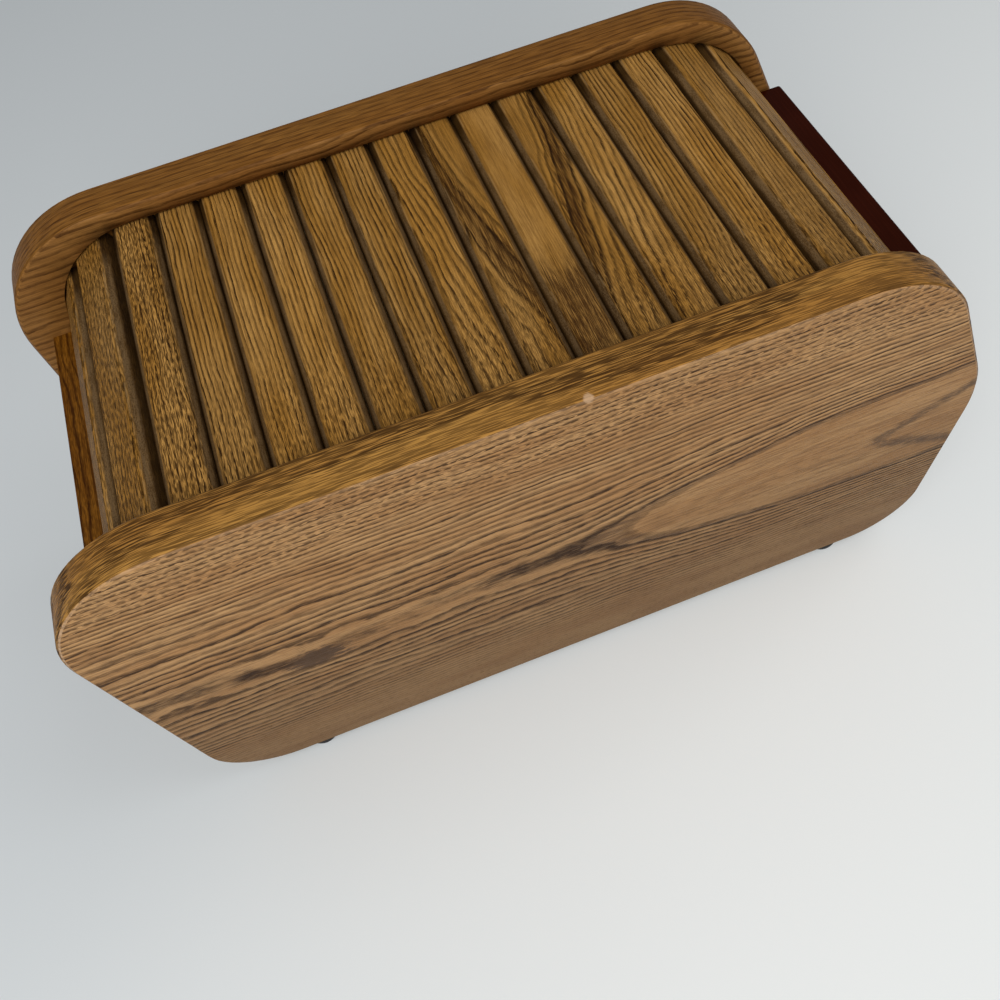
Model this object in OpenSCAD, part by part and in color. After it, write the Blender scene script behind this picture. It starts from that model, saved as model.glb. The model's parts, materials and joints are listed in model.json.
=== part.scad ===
// Roll-top disk box. Two wooden side panels carry a slatted curtain in grooves. It closes the box
// over the top and the front, and rolls away behind the back and under the floor.
// Millimetres. +X is the front, +Z is up, and the origin is on the table below the middle.

/* [Side panels] */
// Clear width between the side panels
inner_w = 148; // [130:1:180]
// Height of the side panels without the feet
panel_h = 224; // [210:1:250]
// Thickness of the side panels
panel_t = 19; // [16:0.5:24]
// Radius of the two upper corners
crown_r = 56.5; // [45:0.5:60]
// Height of the knee in the front edge
knee_h = 127.5; // [115:0.5:140]
// Radius of the knee in the front edge
knee_r = 82; // [60:1:90]
// Radius of the rear base corner
rear_base_r = 38.5; // [32:0.5:42]
// Radius of the front base corner
front_base_r = 34.5; // [28:0.5:38]
// Width of the bevel that eases the edges of the side panels
arris_w = 1.5; // [0.8:0.1:3]
// Wood behind the curtain at the rear edge
rear_margin = 22.8; // [20:0.1:30]
// Wood over the curtain along the top and the front slope
top_margin = 9.2; // [8:0.1:12]

/* [Curtain] */
// Distance from slat to slat
pitch = 19.2; // [18:0.1:21]
// Thickness of a slat
slat_t = 8.6; // [7:0.1:9.5]
// Gap between two slats on the flat
slat_gap = 0.3; // [0.2:0.05:0.6]
// Width of the bevel on each long edge of a slat
bevel_w = 3; // [2:0.1:4]
// Depth of the bevel on each long edge of a slat
bevel_d = 4.6; // [3:0.1:5.5]
// Fall of the front slope, measured from level
front_slope = 64.4; // [62:0.2:68]
// Turn of the first bend from the top to the slope
bend_1 = 11.5; // [10:0.5:14]
// Turn of the second bend from the top to the slope
bend_2 = 27.5; // [25:0.5:29]
// Depth of the curtain's groove in each side panel
groove_d = 7; // [5:0.5:9]
// Clearance between the slats' undersides and the groove
groove_in = 0.5; // [0.3:0.05:0.8]
// Clearance between the slats' tops and the groove
groove_out = 1; // [0.7:0.05:1.4]
// Clearance at each end of a slat
slat_end = 0.8; // [0.4:0.1:1.5]
// Thickness of the canvas under the slats
canvas_t = 0.7; // [0.4:0.1:1]
// Bare slat at each end of the canvas, measured from the side panel
canvas_inset = 5; // [2:0.5:12]
// Length of the groove's run under the floor
store_l = 178; // [165:1:200]

/* [Finger pull] */
// Reach of the pull from the curtain's face, measured level at its top
pull_reach = 15.5; // [12:0.5:20]
// Thickness of the pull
pull_t = 10.6; // [9:0.1:12]
// Step from the upper edge of the rail's face down to the pull
pull_step = 0.3; // [0.2:0.1:1]
// Radius of the finger cove under the pull
cove_r = 5.5; // [4:0.1:6]
// Depth of the finger cove
cove_d = 3; // [2:0.1:3.5]
// Clearance between the pull and each side panel
pull_end = 0.5; // [0.3:0.1:1]
// Distance of each pull screw from the middle
pull_screw_y = 52; // [40:1:58]

/* [Boards] */
// Thickness of the back board and the front board
board_t = 9.5; // [8:0.5:12]
// Height of the back board's top edge
back_top = 170; // [160:1:176]
// Gap between the curtain and the back board
back_gap = 2.6; // [2:0.1:4]
// Gap between the lead rail and the front board
sill_gap = 0.5; // [0.3:0.1:1]
// Length of the tongues that hold the boards in the side panels
tongue_l = 5; // [4:0.5:6]
// Thickness of the tongues on the back board and the front board
tongue_t = 4.8; // [4:0.1:6]
// Height of the bottom panel's underside above the panels' base
bottom_z = 6; // [5:0.5:7]
// Thickness of the bottom panel
bottom_t = 6; // [5:0.5:7]
// Wood between the bottom panel and the curtain's groove
bottom_land = 3; // [2:0.5:5]
// Thickness of the liner boards round the disks
liner_t = 6; // [5:0.5:8]
// Distance from the slats' undersides to the liner boards
liner_gap = 3.7; // [3:0.1:4.5]
// Least distance from the slats' undersides to the liner's corner
liner_corner_gap = 1.9; // [1.5:0.1:2.4]
// Height of the rear liner's top edge
liner_top = 163; // [155:1:168]

/* [Dividers] */
// Thickness of a divider
divider_t = 4; // [3:0.5:5]
// Height of a divider above its pivot
divider_h = 138; // [120:1:145]
// Distance from divider to divider
divider_step = 78; // [70:1:80]
// Distance from the start of the rear turn to the first divider
divider_x = 62; // [55:1:70]
// Clearance between a divider and each side panel
divider_side = 1; // [0.6:0.1:2]
// Radius of a divider's upper corners
divider_corner_r = 14; // [8:1:18]
// Radius of the thumb notch in a divider
thumb_r = 24; // [18:1:28]
// Depth of the thumb notch in a divider
thumb_d = 15; // [10:1:18]
// Width of a divider rail
rail_w = 9; // [8:0.5:11]
// Height of a divider rail
rail_h = 14; // [13:0.5:16]
// Diameter of the bead along the foot of a divider
bead_d = 10; // [9:0.5:11]
// Diameter of a divider pin
pin_d = 5; // [4:0.1:5.5]
// Depth of a divider pin in the bead
pin_reach = 8; // [6:0.5:10]

/* [Feet] */
// Diameter of a foot where it meets the panel
foot_d = 17; // [15:0.5:18]
// Height of a foot
foot_h = 6.5; // [5:0.5:9]
// Distance of each foot from the start of the base corner
foot_inset = 11; // [9:0.5:16]
// Diameter of the screw recess in a foot
recess_d = 7; // [6.5:0.1:8]

/* [Fits] */
// Radial clearance of a turning pin
pin_fit = 0.06; // [0.04:0.01:0.1]
// Radial clearance round a screw
screw_fit = 0.05; // [0.03:0.01:0.1]
// Space at the end of a tongue
tongue_end = 0.4; // [0.2:0.1:0.8]

/* [Hidden] */
$fn = 96;
// Slats on the flat top, and slats in each quarter turn of the groove
flat_slats = 12;
turn_slats = 3;
overcut = 1;
// How far the cuts that ease a straight edge run on past its ends
arris_overlap = 0.05;
slat_w = pitch - slat_gap;
slat_l = inner_w + 2 * (groove_d - slat_end);
turn_r = turn_slats * pitch * 2 / PI;
bends = [bend_1, bend_2, front_slope - bend_1 - bend_2];
path_z = panel_h - top_margin - slat_t;
low_z = bottom_z + bottom_t + bottom_land + groove_out + slat_t;

// Level direction and outward direction at a fall from level
function along(fall) = [cos(fall), -sin(fall)];
function outward(fall) = [sin(fall), cos(fall)];
// Fall, radius, centre and end of the bends from the top to the slope
function fall_after(i) = i == 0 ? 0 : fall_after(i - 1) + bends[i - 1];
function bend_r(i) = pitch * 180 / (PI * bends[i]);
function bend_centre(i) = bend_end(i) - bend_r(i) * outward(fall_after(i));
function bend_end(i) = i == 0
    ? [flat_slats * pitch, path_z]
    : bend_centre(i - 1) + bend_r(i - 1) * outward(fall_after(i));

// All profiles are drawn from the start of the rear turn, on the base of the side panels
rail_point = bend_end(3) + pitch * along(front_slope);
rail_foot = rail_point + slat_w / 2 * along(front_slope);
rear_end = -turn_r - slat_t - rear_margin;
slope_point = bend_end(3) + (slat_t + top_margin) * outward(front_slope);
front_end = slope_point[0] + (slope_point[1] - knee_h) / tan(front_slope);
front_crown = front_end - (panel_h - knee_h) / tan(front_slope);
middle = (rear_end + front_end) / 2;
turn_centre = [0, path_z - turn_r];
low_centre = [0, low_z + turn_r];
sill_point = rail_foot + sill_gap * along(front_slope);
front_in = rail_foot[0];
front_out = front_in + board_t;
back_in = -turn_r - slat_t - back_gap;
back_out = back_in - board_t;
liner_x = liner_gap - turn_r;
liner_z = low_z + liner_gap;
liner_turn = sqrt((turn_r - liner_corner_gap) ^ 2 - (turn_r - liner_gap) ^ 2);
liner_mitre = liner_t * tan(22.5);
floor_z = liner_z + liner_t;
outer_w = inner_w + 2 * panel_t;
pivot_z = floor_z + rail_h / 2;

oak = [0.72, 0.50, 0.28];
side_oak = [0.58, 0.40, 0.28];
maroon = [0.26, 0.09, 0.07];
plywood = [0.79, 0.67, 0.49];
canvas = [0.74, 0.69, 0.57];
steel = [0.66, 0.66, 0.68];
rubber = [0.10, 0.10, 0.11];

// An upright profile carried across the box from one side to the other
module across(y_from, y_to) {
    translate([-middle, y_to, foot_h])
        rotate([90, 0, 0])
            linear_extrude(y_to - y_from) children();
}

// A profile set on the curtain's line, with its underside on the line
module on_line(point, fall) {
    translate(point) rotate(-fall) children();
}

// A solid set on the curtain's line, with its Z axis outward
module on_curtain(point, fall) {
    translate([point[0] - middle, 0, foot_h + point[1]])
        rotate([0, fall, 0]) children();
}

// A convex outline with a round at each corner that has a radius
function unit(v) = v / norm(v);
function half_angle(a, b, c) = acos(unit(a - b) * unit(c - b)) / 2;
function round_centre(a, b, c, r) =
    b + r / sin(half_angle(a, b, c)) * unit(unit(a - b) + unit(c - b));
function round_ends(a, b, c, r) = r == 0
    ? [b]
    : [for (far = [a, c]) b + r / tan(half_angle(a, b, c)) * unit(far - b)];

function turned(list, step) =
    [for (i = [0:len(list) - 1]) list[(i + step + len(list)) % len(list)]];

module rounded(corners, radii) {
    last = len(corners) - 1;
    before = turned(corners, -1);
    after = turned(corners, 1);
    polygon([
        for (i = [0:last])
            for (point = round_ends(before[i], corners[i], after[i], radii[i])) point
    ]);
    for (i = [0:last])
        if (radii[i] > 0)
            translate(round_centre(before[i], corners[i], after[i], radii[i]))
                circle(r = radii[i]);
}

// A slice of a disc under 120 degrees
module pie(centre, r, from, to) {
    middle_angle = (from + to) / 2;
    translate(centre)
        intersection() {
            circle(r = r);
            polygon([
                [0, 0],
                2 * r * [cos(from), sin(from)],
                2 * r * [cos(middle_angle), sin(middle_angle)],
                2 * r * [cos(to), sin(to)]
            ]);
        }
}

panel_corners = [
    [rear_end, 0], [front_end, 0], [front_end, knee_h],
    [front_crown, panel_h], [rear_end, panel_h]
];
panel_radii = [rear_base_r, front_base_r, knee_r, crown_r, crown_r];
module panel_outline() {
    rounded(panel_corners, panel_radii);
}

// What easing an edge takes off, with the face along X and the edge's side along Y
module arris_section() {
    polygon([
        [-arris_w - overcut, -overcut], [overcut, -overcut], [overcut, arris_w + overcut]
    ]);
}

// The easing round one face of a panel that lies flat with that face down
module arris_cut() {
    last = len(panel_corners) - 1;
    before = turned(panel_corners, -1);
    after = turned(panel_corners, 1);
    ends = [
        for (i = [0:last]) round_ends(before[i], panel_corners[i], after[i], panel_radii[i])
    ];
    for (i = [0:last]) {
        side = ends[i][0] - ends[i == 0 ? last : i - 1][1];
        facing = atan2(side[1], side[0]) - 90;
        turn = 180 - 2 * half_angle(before[i], panel_corners[i], after[i]);
        translate(ends[i][0])
            rotate([0, 0, facing])
                translate([0, arris_overlap, 0])
                    rotate([90, 0, 0])
                        linear_extrude(norm(side) + 2 * arris_overlap) arris_section();
        translate(round_centre(before[i], panel_corners[i], after[i], panel_radii[i]))
            rotate([0, 0, facing])
                rotate_extrude(angle = turn) translate([panel_radii[i], 0]) arris_section();
    }
}

// The curtain's line runs from its store under the floor, over the top and down to the sill.
// Its arcs have a centre, a radius, and the fall where each starts and ends.
track_arcs = [
    [low_centre, turn_r, -180, -90],
    [turn_centre, turn_r, -90, 0],
    for (i = [0:2]) [bend_centre(i), bend_r(i), fall_after(i), fall_after(i + 1)]
];
slope_l = 1.5 * pitch + overcut;

// The second and third arcs from the end start where the one before them stops
function track_points(offset) = [
    for (i = [0:4])
        for (k = i == 2 || i == 3 ? [2] : [2, 3])
            track_arcs[i][0] + (track_arcs[i][1] + offset) * outward(track_arcs[i][k])
];
function track_start(offset, more) = [store_l + more, low_z - offset];
function track_stop(offset, more) =
    bend_end(3) + (slope_l + more) * along(front_slope) + offset * outward(front_slope);

// Everything inside the curtain's line, moved outward
module inside_track(offset, more, closing = []) {
    polygon(concat(
        [track_start(offset, more)], track_points(offset), [track_stop(offset, more)], closing
    ));
    for (arc = track_arcs) pie(arc[0], arc[1] + offset, 90 - arc[3], 90 - arc[2]);
}

module groove_outline() {
    inner_stop = track_stop(-groove_in, 0);
    inner_start = track_start(-groove_in, 0);
    difference() {
        inside_track(slat_t + groove_out, 0, [inner_stop, turn_centre, inner_start]);
        inside_track(-groove_in, overcut);
    }
}

module back_profile(x_from, x_to) {
    translate([x_from, bottom_z]) square([x_to - x_from, back_top - bottom_z]);
}

// The front board's top follows the foot of the lead rail
function sill_z(x) = sill_point[1] + (x - sill_point[0]) / tan(front_slope);
module front_profile(x_from, x_to) {
    polygon([
        [x_from, bottom_z], [x_to, bottom_z], [x_to, sill_z(x_to)], [x_from, sill_z(x_from)]
    ]);
}

module bottom_profile() {
    translate([back_in, bottom_z]) square([front_in - back_in, bottom_t]);
}

// The liner turns from upright to level round the curtain's lower turn
liner_outer = [
    [liner_x, liner_top], [liner_x, low_centre[1] - liner_turn],
    [-liner_turn, liner_z], [front_in, liner_z]
];
liner_inner = [
    liner_outer[0] + [liner_t, 0], liner_outer[1] + [liner_t, liner_mitre],
    liner_outer[2] + [liner_mitre, liner_t], liner_outer[3] + [0, liner_t]
];
module liner_profile(i) {
    polygon([liner_outer[i], liner_outer[i + 1], liner_inner[i + 1], liner_inner[i]]);
}

// Feet and dividers stand at these places along the box
base_start = rear_end + rear_base_r;
base_stop = front_end - front_base_r;
feet_x = [base_start + foot_inset, base_stop - foot_inset];
function divider_place(i) = divider_x + (i - 1) * divider_step;

// A countersunk screw with its head at the origin and its shank along Z
screw_head_d = 6;
screw_head_h = 2.2;
screw_d = 3.2;
module screw(length, clearance = 0) {
    cylinder(h = screw_head_h, d1 = screw_head_d + 2 * clearance, d2 = screw_d + 2 * clearance);
    cylinder(h = length + clearance, d = screw_d + 2 * clearance);
}

foot_screw_l = 16;
foot_floor = 2.2;
module at_feet() {
    for (x = feet_x)
        for (side = [-1, 1])
            translate([x - middle, side * (inner_w + panel_t) / 2, 0]) children();
}

// The near side panel, which is the far one seen in a mirror
module side_panel() {
    inner_y = -inner_w / 2;
    housing = tongue_l + tongue_end;
    color(side_oak)
        difference() {
            across(inner_y - panel_t, inner_y) panel_outline();
            translate([-middle, inner_y, foot_h])
                rotate([90, 0, 0]) {
                    arris_cut();
                    translate([0, 0, panel_t]) mirror([0, 0, 1]) arris_cut();
                }
            across(inner_y - groove_d, inner_y + overcut) groove_outline();
            across(inner_y - housing, inner_y + overcut) {
                back_profile(back_out, back_out + tongue_t);
                front_profile(front_out - tongue_t, front_out);
                bottom_profile();
                for (i = [0:2]) liner_profile(i);
            }
            at_feet() translate([0, 0, foot_floor]) screw(foot_screw_l, screw_fit);
        }
}

module near_side_panel() {
    side_panel();
}

module far_side_panel() {
    mirror([0, 1, 0]) side_panel();
}

module back_board() {
    color(oak) {
        across(-inner_w / 2, inner_w / 2) back_profile(back_out, back_in);
        across(-inner_w / 2 - tongue_l, inner_w / 2 + tongue_l)
            back_profile(back_out, back_out + tongue_t);
    }
}

module front_board() {
    color(oak) {
        across(-inner_w / 2, inner_w / 2) front_profile(front_in, front_out);
        across(-inner_w / 2 - tongue_l, inner_w / 2 + tongue_l)
            front_profile(front_out - tongue_t, front_out);
    }
}

module bottom_panel() {
    color(plywood)
        across(-inner_w / 2 - tongue_l, inner_w / 2 + tongue_l) bottom_profile();
}

module liner_board(i) {
    color(plywood)
        across(-inner_w / 2 - tongue_l, inner_w / 2 + tongue_l) liner_profile(i);
}

module false_back() {
    liner_board(0);
}

module corner_board() {
    liner_board(1);
}

module false_floor() {
    liner_board(2);
}

// Slats are counted from the front, at the place where each lies with the box closed
front_slats = 3;
first_turn_slat = front_slats + flat_slats + 1;
first_tail_slat = first_turn_slat + turn_slats;
function slat_fall(k) =
    k <= front_slats ? fall_after(front_slats + 1 - k) :
    k < first_turn_slat ? 0 :
    -min(90, (k - first_turn_slat) * 90 / turn_slats);
function slat_point(k) =
    k <= front_slats ? bend_end(front_slats + 1 - k) :
    k < first_turn_slat ? [(first_turn_slat - k) * pitch, path_z] :
    turn_centre + turn_r * outward(slat_fall(k))
        - [0, max(0, k - first_tail_slat) * pitch];

module slat_profile() {
    polygon([
        [-slat_w / 2, 0], [slat_w / 2, 0], [slat_w / 2, slat_t - bevel_d],
        [slat_w / 2 - bevel_w, slat_t], [bevel_w - slat_w / 2, slat_t],
        [-slat_w / 2, slat_t - bevel_d]
    ]);
}

module slat(k) {
    color(oak)
        across(-slat_l / 2, slat_l / 2)
            on_line(slat_point(k), slat_fall(k)) slat_profile();
}

// The canvas under a run of slats, drawn slat by slat up to where their undersides meet
canvas_w = inner_w - 2 * canvas_inset;
turn_half = turn_r * tan(45 / turn_slats);
module canvas_strip(first, last, joint) {
    color(canvas)
        across(-canvas_w / 2, canvas_w / 2)
            for (k = [first:last]) {
                front_half = k == first ? slat_w / 2 : joint;
                rear_half = k == last ? slat_w / 2 : joint;
                on_line(slat_point(k), slat_fall(k))
                    translate([-rear_half, -canvas_t]) square([rear_half + front_half, canvas_t]);
            }
}

module canvas_lead() {
    strip = slat_w / 2 - screw_head_d / 2;
    color(canvas)
        across(-canvas_w / 2, canvas_w / 2)
            on_line(rail_point, front_slope)
                translate([-slat_w / 2, -canvas_t]) square([strip, canvas_t]);
}

module canvas_turn() {
    canvas_strip(first_turn_slat, first_tail_slat - 1, turn_half);
}

// The lead rail and the pull are screwed together from inside
pull_screw_x = 2.5;
pull_screw_l = slat_t + 7;
module at_pull_screws() {
    for (side = [-1, 1])
        on_curtain(rail_point, front_slope)
            translate([pull_screw_x, side * pull_screw_y, 0]) children();
}

module lead_rail() {
    color(oak)
        difference() {
            across(-slat_l / 2, slat_l / 2)
                on_line(rail_point, front_slope)
                    polygon([
                        [-slat_w / 2, 0], [slat_w / 2, 0], [slat_w / 2, slat_t],
                        [bevel_w - slat_w / 2, slat_t], [-slat_w / 2, slat_t - bevel_d]
                    ]);
            at_pull_screws() screw(pull_screw_l, screw_fit);
        }
}

// The pull's level top meets the rail just under its bevel
pull_seat = rail_point + slat_t * outward(front_slope)
    + (bevel_w - slat_w / 2 + pull_step) * along(front_slope);
pull_out = pull_seat[0] + pull_reach;
pull_low = pull_seat[1] - pull_t;
pull_edge_r = 1.5;
pull_corner_r = 2;
pull_l = inner_w - 2 * pull_end;
module pull_profile() {
    seat_low = pull_seat + [pull_t / tan(front_slope), -pull_t];
    difference() {
        rounded(
            [pull_seat, seat_low, [pull_out, pull_low], [pull_out, pull_seat[1]]],
            [0, 0, pull_edge_r, pull_edge_r]
        );
        translate([pull_out - pull_edge_r * 2 - cove_r / 2, pull_low + cove_d - cove_r])
            circle(r = cove_r);
    }
}

module finger_pull() {
    plan_x = pull_seat[0] - overcut;
    color(maroon)
        difference() {
            intersection() {
                across(-pull_l / 2, pull_l / 2) pull_profile();
                translate([-middle, 0, foot_h + pull_low - overcut])
                    linear_extrude(pull_t + 2 * overcut)
                        rounded(
                            [
                                [plan_x, -pull_l / 2], [pull_out, -pull_l / 2],
                                [pull_out, pull_l / 2], [plan_x, pull_l / 2]
                            ],
                            [0, pull_corner_r, pull_corner_r, 0]
                        );
            }
            at_pull_screws() screw(pull_screw_l, screw_fit);
        }
}

module pull_screws() {
    color(steel) at_pull_screws() screw(pull_screw_l);
}

// A divider tilts on two pins in its bead
divider_w = inner_w - 2 * divider_side;
neck_w = inner_w - 2 * rail_w - 2 * divider_side;
shoulder_z = rail_h / 2 + 2;
module at_pivot(i) {
    translate([divider_place(i) - middle, 0, foot_h + pivot_z]) children();
}

module divider_outline() {
    difference() {
        union() {
            translate([-neck_w / 2, 0]) square([neck_w, shoulder_z + overcut]);
            rounded(
                [
                    [-divider_w / 2, shoulder_z], [divider_w / 2, shoulder_z],
                    [divider_w / 2, divider_h], [-divider_w / 2, divider_h]
                ],
                [0, 0, divider_corner_r, divider_corner_r]
            );
        }
        translate([0, divider_h + thumb_r - thumb_d]) circle(r = thumb_r);
    }
}

module divider(i) {
    color(plywood)
        difference() {
            union() {
                at_pivot(i)
                    translate([-divider_t / 2, 0, 0])
                        rotate([90, 0, 90]) linear_extrude(divider_t) divider_outline();
                at_pivot(i) rotate([90, 0, 0]) cylinder(h = neck_w, d = bead_d, center = true);
            }
            for (side = [0, 180])
                at_pivot(i)
                    rotate([90, 0, side])
                        translate([0, 0, neck_w / 2 - pin_reach - overcut])
                            cylinder(h = pin_reach + 2 * overcut, d = pin_d + 2 * pin_fit);
        }
}

pin_l = rail_w + divider_side + pin_reach;
module divider_pins() {
    color(steel)
        for (i = [1:3])
            for (side = [0, 180])
                at_pivot(i)
                    rotate([90, 0, side])
                        translate([0, 0, inner_w / 2 - pin_l]) cylinder(h = pin_l, d = pin_d);
}

// A divider rail lies on the floor against its side panel
module divider_rail() {
    rail_from = liner_inner[2][0];
    color(oak)
        difference() {
            translate([rail_from - middle, -inner_w / 2, foot_h + floor_z])
                cube([front_in - rail_from, rail_w, rail_h]);
            for (i = [1:3])
                at_pivot(i)
                    rotate([90, 0, 0])
                        translate([0, 0, inner_w / 2 - rail_w - overcut])
                            cylinder(h = rail_w + 2 * overcut, d = pin_d + 2 * screw_fit);
        }
}

module near_divider_rail() {
    divider_rail();
}

module far_divider_rail() {
    mirror([0, 1, 0]) divider_rail();
}

// A domed foot with a recessed screw
foot_tip_d = 13;
foot_dome_r = 2;
module rubber_feet() {
    color(rubber)
        at_feet()
            difference() {
                rotate_extrude()
                    intersection() {
                        rounded(
                            [
                                [-foot_d / 2, foot_h], [-foot_tip_d / 2, 0],
                                [foot_tip_d / 2, 0], [foot_d / 2, foot_h]
                            ],
                            [0, foot_dome_r, foot_dome_r, 0]
                        );
                        square([foot_d, foot_h]);
                    }
                translate([0, 0, -overcut]) cylinder(h = foot_floor + overcut, d = recess_d);
                translate([0, 0, foot_floor]) screw(foot_screw_l, screw_fit);
            }
}

module foot_screws() {
    color(steel) at_feet() translate([0, 0, foot_floor]) screw(foot_screw_l);
}

near_side_panel();
far_side_panel();
back_board();
front_board();
bottom_panel();
false_floor();
corner_board();
false_back();
slat(1);  // slat_01
slat(2);  // slat_02
slat(3);  // slat_03
slat(4);  // slat_04
slat(5);  // slat_05
slat(6);  // slat_06
slat(7);  // slat_07
slat(8);  // slat_08
slat(9);  // slat_09
slat(10);  // slat_10
slat(11);  // slat_11
slat(12);  // slat_12
slat(13);  // slat_13
slat(14);  // slat_14
slat(15);  // slat_15
slat(16);  // slat_16
slat(17);  // slat_17
slat(18);  // slat_18
slat(19);  // slat_19
slat(20);  // slat_20
lead_rail();
finger_pull();
pull_screws();
canvas_lead();
canvas_strip(3, 3, 0);  // canvas_bend_1
canvas_strip(2, 2, 0);  // canvas_bend_2
canvas_strip(1, 1, 0);  // canvas_bend_3
canvas_strip(4, 15, pitch / 2);  // canvas_top
canvas_turn();
canvas_strip(19, 20, pitch / 2);  // canvas_tail
divider(1);  // divider_1
divider(2);  // divider_2
divider(3);  // divider_3
divider_pins();
near_divider_rail();
far_divider_rail();
rubber_feet();
foot_screws();
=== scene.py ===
import json
import math

import bmesh
import bpy
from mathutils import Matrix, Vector


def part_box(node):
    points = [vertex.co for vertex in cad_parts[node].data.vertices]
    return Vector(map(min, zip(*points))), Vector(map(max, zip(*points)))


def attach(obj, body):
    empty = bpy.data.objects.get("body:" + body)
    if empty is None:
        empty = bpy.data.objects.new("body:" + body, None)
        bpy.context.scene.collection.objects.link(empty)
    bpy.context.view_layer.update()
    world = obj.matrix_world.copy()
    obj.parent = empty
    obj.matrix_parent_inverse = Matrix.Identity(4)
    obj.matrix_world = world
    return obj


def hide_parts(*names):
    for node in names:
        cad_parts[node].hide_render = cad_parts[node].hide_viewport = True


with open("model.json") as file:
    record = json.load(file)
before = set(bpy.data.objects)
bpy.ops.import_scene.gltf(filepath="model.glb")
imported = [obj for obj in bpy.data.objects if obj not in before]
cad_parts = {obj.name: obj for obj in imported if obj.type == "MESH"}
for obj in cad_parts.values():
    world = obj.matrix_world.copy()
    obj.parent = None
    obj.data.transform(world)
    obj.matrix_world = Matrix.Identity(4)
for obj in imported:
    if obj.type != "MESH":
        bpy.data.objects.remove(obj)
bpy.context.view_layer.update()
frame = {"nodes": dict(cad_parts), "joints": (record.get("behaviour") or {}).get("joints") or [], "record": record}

scene = bpy.context.scene
joints = {j["name"]: j for j in frame["joints"]}


# colours and node graphs

def tone(red, green, blue):
    # a colour as it is picked on the screen, 0 to 255, for a shader
    def linear(value):
        value /= 255
        return value / 12.92 if value <= 0.04045 else ((value + 0.055) / 1.055) ** 2.4
    return (linear(red), linear(green), linear(blue), 1)


class Wire:
    # a node's output that takes Python's operators
    def __init__(self, graph, socket):
        self.graph = graph
        self.socket = socket

    def __add__(self, other):
        return self.graph.maths("ADD", self, other)

    def __radd__(self, other):
        return self.graph.maths("ADD", other, self)

    def __sub__(self, other):
        return self.graph.maths("SUBTRACT", self, other)

    def __rsub__(self, other):
        return self.graph.maths("SUBTRACT", other, self)

    def __mul__(self, other):
        return self.graph.maths("MULTIPLY", self, other)

    def __rmul__(self, other):
        return self.graph.maths("MULTIPLY", other, self)

    def __truediv__(self, other):
        return self.graph.maths("DIVIDE", self, other)

    def __rtruediv__(self, other):
        return self.graph.maths("DIVIDE", other, self)

    def __gt__(self, other):
        return self.graph.maths("GREATER_THAN", self, other)

    def __lt__(self, other):
        return self.graph.maths("LESS_THAN", self, other)

    def __abs__(self):
        return self.graph.maths("ABSOLUTE", self)


class Graph:
    # makes and links the nodes of one tree
    def __init__(self, tree):
        self.tree = tree

    def node(self, kind, settings=None, inputs=None):
        made = self.tree.nodes.new(kind)
        for name, value in (settings or {}).items():
            setattr(made, name, value)
        for key, value in (inputs or {}).items():
            socket = self.socketOf(made.inputs, key)
            if isinstance(value, Wire):
                self.tree.links.new(value.socket, socket)
            else:
                socket.default_value = value
        return made

    def socketOf(self, sockets, key):
        # the key is a socket's number, identifier or name
        if isinstance(key, int):
            return sockets[key]
        for socket in sockets:
            if socket.identifier == key:
                return socket
        return sockets[key]

    def out(self, made, key=0):
        return Wire(self, self.socketOf(made.outputs, key))

    def maths(self, operation, *values):
        return self.out(self.node("ShaderNodeMath", {"operation": operation}, dict(enumerate(values))))

    def vectorMaths(self, operation, *values):
        return self.out(self.node("ShaderNodeVectorMath", {"operation": operation}, dict(enumerate(values))))

    def most(self, first, second):
        return self.maths("MAXIMUM", first, second)

    def vector(self, x, y, z):
        return self.out(self.node("ShaderNodeCombineXYZ", {}, {0: x, 1: y, 2: z}))

    def parts(self, vector):
        made = self.node("ShaderNodeSeparateXYZ", {}, {0: vector})
        return [self.out(made, i) for i in range(3)]

    def step(self, value, low, high, bottom=0.0, top=1.0):
        # runs smoothly from bottom to top while the value goes from low to high
        inputs = {"Value": value, "From Min": low, "From Max": high, "To Min": bottom, "To Max": top}
        made = self.node("ShaderNodeMapRange", {"interpolation_type": "SMOOTHSTEP"}, inputs)
        return self.out(made)

    def noise(self, vector, scale=1.0, detail=2.0, roughness=0.5):
        inputs = {"Vector": vector, "Scale": scale, "Detail": detail, "Roughness": roughness}
        return self.out(self.node("ShaderNodeTexNoise", {}, inputs))

    def streaks(self, place, size, detail=2.0, roughness=0.5):
        # noise drawn out to a size along each part of the place
        scaled = [part / length for part, length in zip(place, size)]
        return self.noise(self.vector(*scaled), 1.0, detail, roughness)

    def chance(self, value):
        # a fixed random number between 0 and 1 for each value
        made = self.node("ShaderNodeTexWhiteNoise", {"noise_dimensions": "1D"}, {"W": value})
        return self.out(made, "Value")

    def blend(self, amount, first, second):
        # from the first colour to the second, each a wire or picked on the screen
        first, second = [c if isinstance(c, Wire) else tone(*c) for c in (first, second)]
        inputs = {"Factor_Float": amount, "A_Color": first, "B_Color": second}
        made = self.node("ShaderNodeMix", {"data_type": "RGBA"}, inputs)
        return self.out(made, "Result_Color")

    def tint(self, colour, red, green, blue):
        return self.vectorMaths("MULTIPLY", colour, self.vector(red, green, blue))

    def bump(self, height, strength, distance):
        inputs = {"Height": height, "Strength": strength, "Distance": distance}
        return self.out(self.node("ShaderNodeBump", {}, inputs))

    def inMm(self, place):
        return self.parts(self.vectorMaths("MULTIPLY", place, (1000, 1000, 1000)))

    def objectPlace(self):
        # Object coordinates in mm
        return self.inMm(self.out(self.node("ShaderNodeTexCoord"), "Object"))


def newMaterial(name):
    material = bpy.data.materials.new(name)
    material.use_nodes = True
    material.node_tree.nodes.clear()
    return material, Graph(material.node_tree)


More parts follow.
